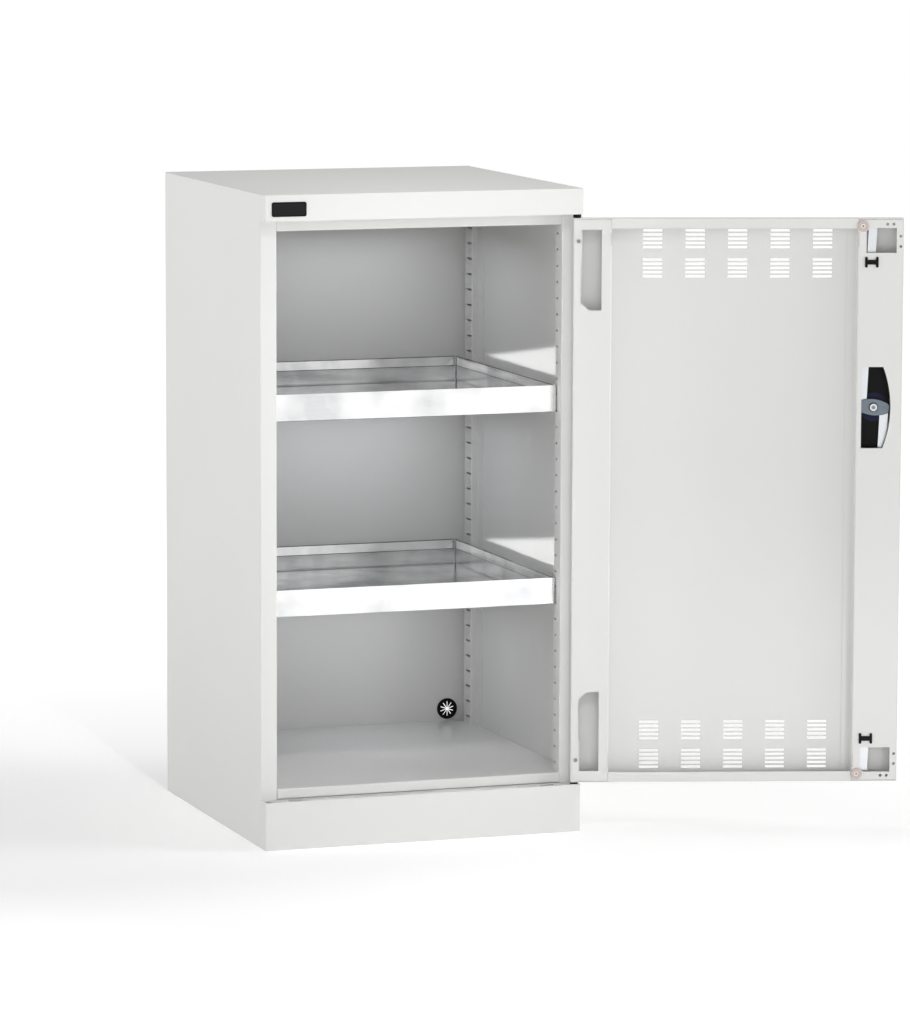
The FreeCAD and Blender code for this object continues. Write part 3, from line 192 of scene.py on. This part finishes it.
def powder_coat(name, roughness, peel_depth_mm):
    """Polyester powder coat, oven-cured on steel: even light grey, satin, with a faint orange peel.

    The peel is 1 to 2 mm wide on the real sheet. It is drawn 4 mm wide, so that it shows.
    """
    material, tree, shader = start_material(name, POWDER_GREY, metallic=0.0, roughness=roughness)
    place = add(tree, "ShaderNodeTexCoord").outputs["Object"]
    clouds = add(
        tree,
        "ShaderNodeTexNoise",
        inputs={"Vector": place, "Scale": scale_for(PAINT_CLOUD), "Detail": 2.0},
    )
    tint = add(
        tree,
        "ShaderNodeMix",
        {"data_type": "RGBA"},
        {
            MIX_FACTOR: clouds.outputs["Fac"],
            MIX_FIRST: srgb(POWDER_GREY_DEEP),
            MIX_SECOND: srgb(POWDER_GREY),
        },
    )
    tree.links.new(tint.outputs[MIX_RESULT], shader.inputs["Base Color"])
    peel = add(
        tree,
        "ShaderNodeTexNoise",
        inputs={"Vector": place, "Scale": scale_for(PEEL_WIDTH), "Detail": 1.0},
    )
    gloss = add(
        tree,
        "ShaderNodeMapRange",
        inputs={"Value": peel.outputs["Fac"], "To Min": roughness - 0.04, "To Max": roughness + 0.04},
    )
    tree.links.new(gloss.outputs["Result"], shader.inputs["Roughness"])
    bump = add(
        tree,
        "ShaderNodeBump",
        inputs={"Height": peel.outputs["Fac"], "Strength": 0.25, "Distance": peel_depth_mm / 1000},
    )
    tree.links.new(bump.outputs["Normal"], shader.inputs["Normal"])
    return material


def galvanised_sheet(name):
    """Galvanised steel: a bright neutral zinc skin with faint crystals, mill streaks and handling marks.

    The mill streaks are a few tenths of a millimetre apart on the real sheet. They are drawn coarser,
    so that they show.
    """
    material, tree, shader = start_material(name, ZINC_SKIN, metallic=1.0, roughness=0.3)
    place = add(tree, "ShaderNodeTexCoord").outputs["Object"]
    rolled = add(
        tree,
        "ShaderNodeMapping",
        inputs={"Vector": place, "Scale": tuple(scale_for(size) for size in MILL_STREAK)},
    )
    streaks = add(
        tree,
        "ShaderNodeTexNoise",
        inputs={"Vector": rolled.outputs["Vector"], "Scale": 1.0, "Detail": 4.0, "Roughness": 0.55},
    )
    crystals = add(
        tree,
        "ShaderNodeTexVoronoi",
        inputs={"Vector": place, "Scale": scale_for(ZINC_CRYSTAL)},
    )
    blotches = add(
        tree,
        "ShaderNodeTexNoise",
        inputs={"Vector": place, "Scale": scale_for(ZINC_BLOTCH), "Detail": 3.0},
    )
    dulled = add(
        tree,
        "ShaderNodeMapRange",
        inputs={"Value": blotches.outputs["Fac"], "From Min": 0.42, "From Max": 0.7, "To Max": 0.6},
    )
    tint = add(
        tree,
        "ShaderNodeMix",
        {"data_type": "RGBA"},
        {
            MIX_FACTOR: dulled.outputs["Result"],
            MIX_FIRST: srgb(ZINC_SKIN),
            MIX_SECOND: srgb(ZINC_DULL),
        },
    )
    tree.links.new(tint.outputs[MIX_RESULT], shader.inputs["Base Color"])
    gloss = add(
        tree,
        "ShaderNodeMapRange",
        inputs={
            "Value": streaks.outputs["Fac"],
            "From Min": 0.3,
            "From Max": 0.7,
            "To Min": 0.14,
            "To Max": 0.24,
        },
    )
    tree.links.new(gloss.outputs["Result"], shader.inputs["Roughness"])
    facets = add(
        tree,
        "ShaderNodeBump",
        inputs={
            "Height": crystals.outputs["Distance"],
            "Strength": 0.15,
            "Distance": ZINC_CRYSTAL_DEPTH / 1000,
        },
    )
    mill = add(
        tree,
        "ShaderNodeBump",
        inputs={
            "Height": streaks.outputs["Fac"],
            "Strength": 0.2,
            "Distance": MILL_STREAK_DEPTH / 1000,
            "Normal": facets.outputs["Normal"],
        },
    )
    waviness = add(
        tree,
        "ShaderNodeTexNoise",
        inputs={"Vector": place, "Scale": scale_for(BUCKLE_WIDTH), "Detail": 0.0},
    )
    buckle = add(
        tree,
        "ShaderNodeBump",
        inputs={
            "Height": waviness.outputs["Fac"],
            "Strength": 1.0,
            "Distance": BUCKLE_DEPTH / 1000,
            "Normal": mill.outputs["Normal"],
        },
    )
    tree.links.new(buckle.outputs["Normal"], shader.inputs["Normal"])
    return material


def tray_zinc(tray):
    """Galvanised sheet of a tray, with painted shade: a darker floor, and dark painted-shade lines at the rim and
    under the hem.

    The hem has sprung open a little. It leans back inside the tray, so it catches the light.
    """
    material = galvanised_sheet(f"galvanised_sheet_with_painted_shade_of_{tray}")
    tree = material.node_tree
    shader = tree.nodes["Principled BSDF"]
    low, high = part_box(tray)
    depth_mm = (high[2] - low[2]) * 1000
    place = add(tree, "ShaderNodeTexCoord").outputs["Object"]
    parts = add(tree, "ShaderNodeSeparateXYZ", inputs={"Vector": place})
    inside = add(
        tree,
        "ShaderNodeMath",
        {"operation": "GREATER_THAN"},
        {0: parts.outputs["Y"], 1: low[1] + 2 * TRAY_EDGE / 1000},
    )
    rise = add(
        tree,
        "ShaderNodeMapRange",
        inputs={"Value": parts.outputs["Z"], "From Min": low[2], "From Max": high[2]},
    )
    lines = add(tree, "ShaderNodeValToRGB", inputs={"Fac": rise.outputs["Result"]})
    # Painted shade inside the tray: the lowest band darkens its floor, and two thin dark bands draw shade under
    # the hem and along the rim
    bands = (
        (0.0, ZINC_FLOOR_PAINTED_SHADE),
        (3 * TRAY_EDGE / depth_mm, WHITE),
        (1 - (TRAY_HEM + TRAY_EDGE) / depth_mm, ZINC_PAINTED_SHADE_LINE),
        (1 - TRAY_HEM / depth_mm, WHITE),
        (1 - TRAY_EDGE / depth_mm, ZINC_PAINTED_SHADE_LINE),
    )
    band_colours(lines.color_ramp, bands)
    lined = add(
        tree,
        "ShaderNodeMix",
        {"data_type": "RGBA", "blend_type": "MULTIPLY"},
        {
            MIX_FACTOR: inside.outputs["Value"],
            MIX_FIRST: shader.inputs["Base Color"].links[0].from_socket,
            MIX_SECOND: lines.outputs["Color"],
        },
    )
    tree.links.new(lined.outputs[MIX_RESULT], shader.inputs["Base Color"])
    lean = add(
        tree,
        "ShaderNodeMapRange",
        inputs={
            "Value": parts.outputs["Z"],
            "From Min": high[2] - TRAY_HEM / 1000,
            "From Max": high[2],
            "To Min": 1.0,
            "To Max": 0.0,
        },
    )
    lean_inside = add(
        tree,
        "ShaderNodeMath",
        {"operation": "MULTIPLY"},
        {0: lean.outputs["Result"], 1: inside.outputs["Value"]},
    )
    hem = add(
        tree,
        "ShaderNodeBump",
        inputs={
            "Height": lean_inside.outputs["Value"],
            "Strength": 1.0,
            "Distance": HEM_SPRING / 1000,
            "Normal": shader.inputs["Normal"].links[0].from_socket,
        },
    )
    tree.links.new(hem.outputs["Normal"], shader.inputs["Normal"])
    return material


def grained(name, colour, metallic, roughness, grain_mm, depth_mm, shine=0.5):
    """A finish with a fine even grain: a casting's skin, moulded nylon, rubber or satin enamel."""
    material, tree, shader = start_material(name, colour, metallic, roughness)
    shader.inputs["Specular IOR Level"].default_value = shine
    place = add(tree, "ShaderNodeTexCoord").outputs["Object"]
    grain = add(
        tree,
        "ShaderNodeTexNoise",
        inputs={"Vector": place, "Scale": scale_for(grain_mm), "Detail": 2.0},
    )
    gloss = add(
        tree,
        "ShaderNodeMapRange",
        inputs={"Value": grain.outputs["Fac"], "To Min": roughness - 0.08, "To Max": roughness + 0.08},
    )
    tree.links.new(gloss.outputs["Result"], shader.inputs["Roughness"])
    bump = add(
        tree,
        "ShaderNodeBump",
        inputs={"Height": grain.outputs["Fac"], "Strength": 0.4, "Distance": depth_mm / 1000},
    )
    tree.links.new(bump.outputs["Normal"], shader.inputs["Normal"])
    return material


def black_nylon(name):
    """Moulded black nylon: deep black with a soft sheen and the faint grain of its mould."""
    return grained(
        name,
        NYLON_BLACK,
        metallic=0.0,
        roughness=0.45,
        grain_mm=1.5,
        depth_mm=0.03,
        shine=DARK_SHINE,
    )


def cup_nylon():
    """Moulded black nylon of the handle's cup, with the round boss behind the cam in navy blue."""
    material = black_nylon("moulded_black_and_navy_nylon")
    tree = material.node_tree
    shader = tree.nodes["Principled BSDF"]
    low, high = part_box("spindle")
    middle = (Vector(low) + Vector(high)) / 2
    axis = next(joint["axis"] for joint in frame["joints"] if joint["name"] == "handle_turn")
    place = add(tree, "ShaderNodeTexCoord").outputs["Object"]
    away = add(tree, "ShaderNodeVectorMath", {"operation": "SUBTRACT"}, {0: place, 1: tuple(middle)})
    along = add(
        tree,
        "ShaderNodeVectorMath",
        {"operation": "PROJECT"},
        {0: away.outputs["Vector"], 1: tuple(axis)},
    )
    across = add(
        tree,
        "ShaderNodeVectorMath",
        {"operation": "SUBTRACT"},
        {0: away.outputs["Vector"], 1: along.outputs["Vector"]},
    )
    radius = add(tree, "ShaderNodeVectorMath", {"operation": "LENGTH"}, {0: across.outputs["Vector"]})
    boss = add(
        tree,
        "ShaderNodeMath",
        {"operation": "LESS_THAN"},
        {0: radius.outputs["Value"], 1: BOSS_DIAMETER / 2 / 1000},
    )
    tint = add(
        tree,
        "ShaderNodeMix",
        {"data_type": "RGBA"},
        {
            MIX_FACTOR: boss.outputs["Value"],
            MIX_FIRST: srgb(NYLON_BLACK),
            MIX_SECOND: srgb(NYLON_NAVY),
        },
    )
    tree.links.new(tint.outputs[MIX_RESULT], shader.inputs["Base Color"])
    return material


def badge_enamel():
    """Satin black enamel on the badge plate, with a blacker rim round a bare field."""
    material = grained(
        "satin_black_enamel",
        ENAMEL_FIELD,
        metallic=0.0,
        roughness=0.4,
        grain_mm=2.0,
        depth_mm=0.01,
        shine=DARK_SHINE,
    )
    tree = material.node_tree
    shader = tree.nodes["Principled BSDF"]
    place = add(tree, "ShaderNodeTexCoord").outputs["Object"]
    tint = add(
        tree,
        "ShaderNodeMix",
        {"data_type": "RGBA"},
        {
            MIX_FACTOR: inside_rectangle(tree, place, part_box("blank_badge"), "XZ", BADGE_RIM),
            MIX_FIRST: srgb(ENAMEL_RIM),
            MIX_SECOND: srgb(ENAMEL_FIELD),
        },
    )
    tree.links.new(tint.outputs[MIX_RESULT], shader.inputs["Base Color"])
    return material


def pad_nylon(pad):
    """Moulded natural nylon, beige, with a darker dimple and a paler ring round it in a buffer pad's middle."""
    material = grained(
        f"moulded_natural_nylon_{pad}",
        PAD_BEIGE,
        metallic=0.0,
        roughness=0.4,
        grain_mm=2.0,
        depth_mm=0.02,
    )
    tree = material.node_tree
    shader = tree.nodes["Principled BSDF"]
    low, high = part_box(pad)
    middle = (Vector(low) + Vector(high)) / 2
    place = add(tree, "ShaderNodeTexCoord").outputs["Object"]
    radius = add(tree, "ShaderNodeVectorMath", {"operation": "DISTANCE"}, {0: place, 1: tuple(middle)})
    share = add(
        tree,
        "ShaderNodeMapRange",
        inputs={"Value": radius.outputs["Value"], "From Max": PAD_RING / 1000},
    )
    rings = add(tree, "ShaderNodeValToRGB", inputs={"Fac": share.outputs["Result"]})
    bands = ((0.0, PAD_DIMPLE_BEIGE), (PAD_DIMPLE / PAD_RING, PAD_PALE), (1.0, PAD_BEIGE))
    band_colours(rings.color_ramp, bands)
    tree.links.new(rings.outputs["Color"], shader.inputs["Base Color"])
    return material


def dress(node, material):
    """Give a CAD node its finish."""
    for slot in frame["nodes"][node].material_slots:
        slot.material = material


def dress_all():
    """Give every CAD node the finish of its material slot, and a few nodes one of their own."""
    finishes = {
        "painted_steel": powder_coat("satin_powder_coat", roughness=0.42, peel_depth_mm=0.08),
        "galvanised_steel": galvanised_sheet("galvanised_sheet"),
        "zinc_plated_steel": grained(
            "bright_zinc_plate", "D6D8DC", metallic=1.0, roughness=0.28, grain_mm=2.0, depth_mm=0.02
        ),
        "zinc_casting": grained(
            "tumbled_zinc_casting", "75808A", metallic=0.6, roughness=0.4, grain_mm=1.2, depth_mm=0.15
        ),
        "black_rubber": grained(
            "moulded_black_rubber",
            RUBBER_BLACK,
            metallic=0.0,
            roughness=0.6,
            grain_mm=1.5,
            depth_mm=0.05,
            shine=DARK_SHINE,
        ),
        "black_nylon": black_nylon("moulded_black_nylon"),
        "black_enamel": badge_enamel(),
        "natural_nylon": pad_nylon("upper_buffer_pad"),
        "chromed_steel": grained(
            "polished_chrome", "DADBDD", metallic=1.0, roughness=0.1, grain_mm=3.0, depth_mm=0.005
        ),
    }
    for part in frame["record"]["subparts"]:
        dress(part["node"], finishes[part["material_slot"]])
    dress("floor_panel", powder_coat("glossier_powder_coat", roughness=0.22, peel_depth_mm=0.01))
    dress("lower_buffer_pad", pad_nylon("lower_buffer_pad"))
    dress("upper_tray", tray_zinc("upper_tray"))
    dress("lower_tray", tray_zinc("lower_tray"))
    dress("handle_tub", cup_nylon())
    dress("cam_rivets", finishes["zinc_casting"])
    blackened = grained(
        "blackened_steel", "3A3D42", metallic=1.0, roughness=0.5, grain_mm=1.0, depth_mm=0.02
    )
    dress("cam_washer", blackened)
    turned = grained("turned_steel", "8E9092", metallic=1.0, roughness=0.4, grain_mm=1.0, depth_mm=0.02)
    dress("spindle", turned)
    dress("hinge_pin_screws", turned)
    bar = grained(
        "drawn_zinc_plated_bar", "DADDE0", metallic=1.0, roughness=0.3, grain_mm=1.5, depth_mm=0.02
    )
    dress("upper_lock_rod", bar)
    dress("lower_lock_rod", bar)


def surround():
    """A white studio, brightest all round at the horizon and dark overhead."""
    world = bpy.data.worlds.new("white_surround")
    bpy.context.scene.world = world
    world.use_nodes = True
    tree = world.node_tree
    direction = add(tree, "ShaderNodeTexCoord").outputs["Generated"]
    height = add(tree, "ShaderNodeSeparateXYZ", inputs={"Vector": direction}).outputs["Z"]
    glow = add(
        tree,
        "ShaderNodeMapRange",
        inputs={"Value": height, "To Min": HORIZON_GLOW, "To Max": ZENITH_GLOW},
    )
    tree.links.new(glow.outputs["Result"], tree.nodes["Background"].inputs["Strength"])
    tree.nodes["Background"].inputs["Color"].default_value = srgb(WHITE)


def floor():
    """A plain matt floor of lit white acrylic, so that only weak shadows fall on it.

    It glows more in front and further out, where the lamps don't reach, and not under the floor panel.
    """
    mesh = bpy.data.meshes.new("studio_floor")
    corners = [(x * FLOOR_HALF, y * FLOOR_HALF, 0) for x, y in ((-1, -1), (1, -1), (1, 1), (-1, 1))]
    mesh.from_pydata(corners, [], [(0, 1, 2, 3)])
    plane = bpy.data.objects.new("studio_floor", mesh)
    bpy.context.scene.collection.objects.link(plane)
    material, tree, shader = start_material("lit_white_acrylic", FLOOR_WHITE, metallic=0.0, roughness=0.9)
    place = add(tree, "ShaderNodeTexCoord").outputs["Object"]
    distance = add(tree, "ShaderNodeVectorMath", {"operation": "LENGTH"}, {0: place})
    outwards = add(
        tree,
        "ShaderNodeMapRange",
        inputs={
            "Value": distance.outputs["Value"],
            "From Min": FLOOR_NEAR,
            "From Max": FLOOR_FAR,
            "To Min": FLOOR_GLOW_NEAR,
            "To Max": FLOOR_GLOW_FAR,
        },
    )
    parts = add(tree, "ShaderNodeSeparateXYZ", inputs={"Vector": place})
    front = add(
        tree,
        "ShaderNodeMapRange",
        inputs={
            "Value": parts.outputs["Y"],
            "From Min": FLOOR_FRONT_START,
            "From Max": FLOOR_FRONT_FULL,
            "To Max": FLOOR_GLOW_FRONT,
        },
    )
    glow = add(
        tree,
        "ShaderNodeMath",
        {"operation": "ADD"},
        {0: outwards.outputs["Result"], 1: front.outputs["Result"]},
    )
    covered = inside_rectangle(tree, place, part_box("floor_panel"), "XY")
    bare = add(tree, "ShaderNodeMath", {"operation": "SUBTRACT"}, {0: 1.0, 1: covered})
    strength = add(
        tree,
        "ShaderNodeMath",
        {"operation": "MULTIPLY"},
        {0: glow.outputs["Value"], 1: bare.outputs["Value"]},
    )
    shader.inputs["Emission Color"].default_value = srgb(WHITE)
    tree.links.new(strength.outputs["Value"], shader.inputs["Emission Strength"])
    plane.data.materials.append(material)


def softbox(name, place, target, width, height, power):
    """A rectangular soft light turned towards a target."""
    light = bpy.data.lights.new(name, "AREA")
    light.shape = "RECTANGLE"
    light.size = width
    light.size_y = height
    light.energy = power
    lamp = bpy.data.objects.new(name, light)
    bpy.context.scene.collection.objects.link(lamp)
    lamp.location = place
    lamp.rotation_euler = (Vector(target) - Vector(place)).to_track_quat("-Z", "Y").to_euler()
    lamp.visible_camera = False
    return lamp


def lights():
    """Soft lights round the cabinet, and a weak one under the ceiling of each bay."""
    body = softbox(
        "body_softbox",
        place=(-0.33, -2.6, 3.2),
        target=(-0.01, 0.0, 0.5),
        width=0.3,
        height=0.9,
        power=0.62,
    )
    body.data.spread = GRID_SPREAD
    door = softbox(
        "door_foot_softbox",
        place=(0.9, -2.6, 0.1),
        target=(0.6, -0.1, 0.2),
        width=0.6,
        height=0.15,
        power=0.09,
    )
    door.data.spread = GRID_SPREAD
    softbox(
        "right_softbox", place=(4.0, -1.5, 1.5), target=CABINET_MIDDLE, width=2.0, height=2.0, power=85
    )
    softbox(
        "left_softbox", place=(-4.0, -0.5, 1.5), target=CABINET_MIDDLE, width=2.0, height=2.0, power=22
    )
    softbox(
        "top_softbox", place=(0.2, 0.2, 3.5), target=CABINET_MIDDLE, width=2.5, height=2.0, power=23.5
    )
    for bay, height in FILL_HEIGHTS.items():
        bay_fill(bay, height, FILL_POWERS[bay])
    for tray in ("upper_tray", "lower_tray"):
        wall_gleam(tray)


def bay_fill(bay, ceiling, power):
    """A weak cool lamp that shines down into a bay."""
    fill = softbox(
        f"{bay}_bay_fill",
        place=(FILL_X, FILL_Y, ceiling),
        target=(FILL_X, FILL_Y, 0.0),
        width=0.3,
        height=0.25,
        power=power,
    )
    fill.visible_glossy = False
    fill.data.color = srgb(FILL_TINT)[:3]


def wall_gleam(tray):
    """A narrow beam along a tray's right rim, for the wedge of light on the wall above it."""
    right, _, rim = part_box(tray)[1]
    climb = math.tan(GLEAM_TILT)
    level = rim + GLEAM_RISE - GLEAM_HEIGHT / 2 - climb * (right - GLEAM_FROM_WALL_X)
    beam = softbox(
        f"{tray}_gleam",
        place=(GLEAM_FROM_WALL_X, GLEAM_Y, level),
        target=(GLEAM_FROM_WALL_X + 1, GLEAM_Y, level + climb),
        width=GLEAM_LENGTH,
        height=GLEAM_HEIGHT,
        power=GLEAM_POWER,
    )
    beam.rotation_euler.rotate_axis("Z", GLEAM_SLOPE)
    beam.data.spread = GLEAM_SPREAD
    beam.visible_glossy = False


def camera():
    """The camera at the photograph's place and angle."""
    turn = Matrix.Rotation(-ROLL, 4, "Y") @ Matrix.Rotation(PITCH, 4, "X") @ Matrix.Rotation(YAW, 4, "Z")
    upright = turn.transposed()
    data = bpy.data.cameras.new("camera")
    data.sensor_width = SENSOR_MM
    data.lens = FOCAL_PIXELS / FRAME_LONG_SIDE * SENSOR_MM
    data.clip_start = 0.1
    data.clip_end = 100.0
    view = bpy.data.objects.new("camera", data)
    bpy.context.scene.collection.objects.link(view)
    place = upright @ -ORIGIN_FROM_CAMERA
    level = Matrix.Rotation(math.radians(90), 4, "X")
    view.matrix_world = Matrix.Translation(place) @ upright @ level
    bpy.context.scene.camera = view


dress_all()
surround()
floor()
lights()
camera()
bpy.context.scene.view_settings.view_transform = "Standard"
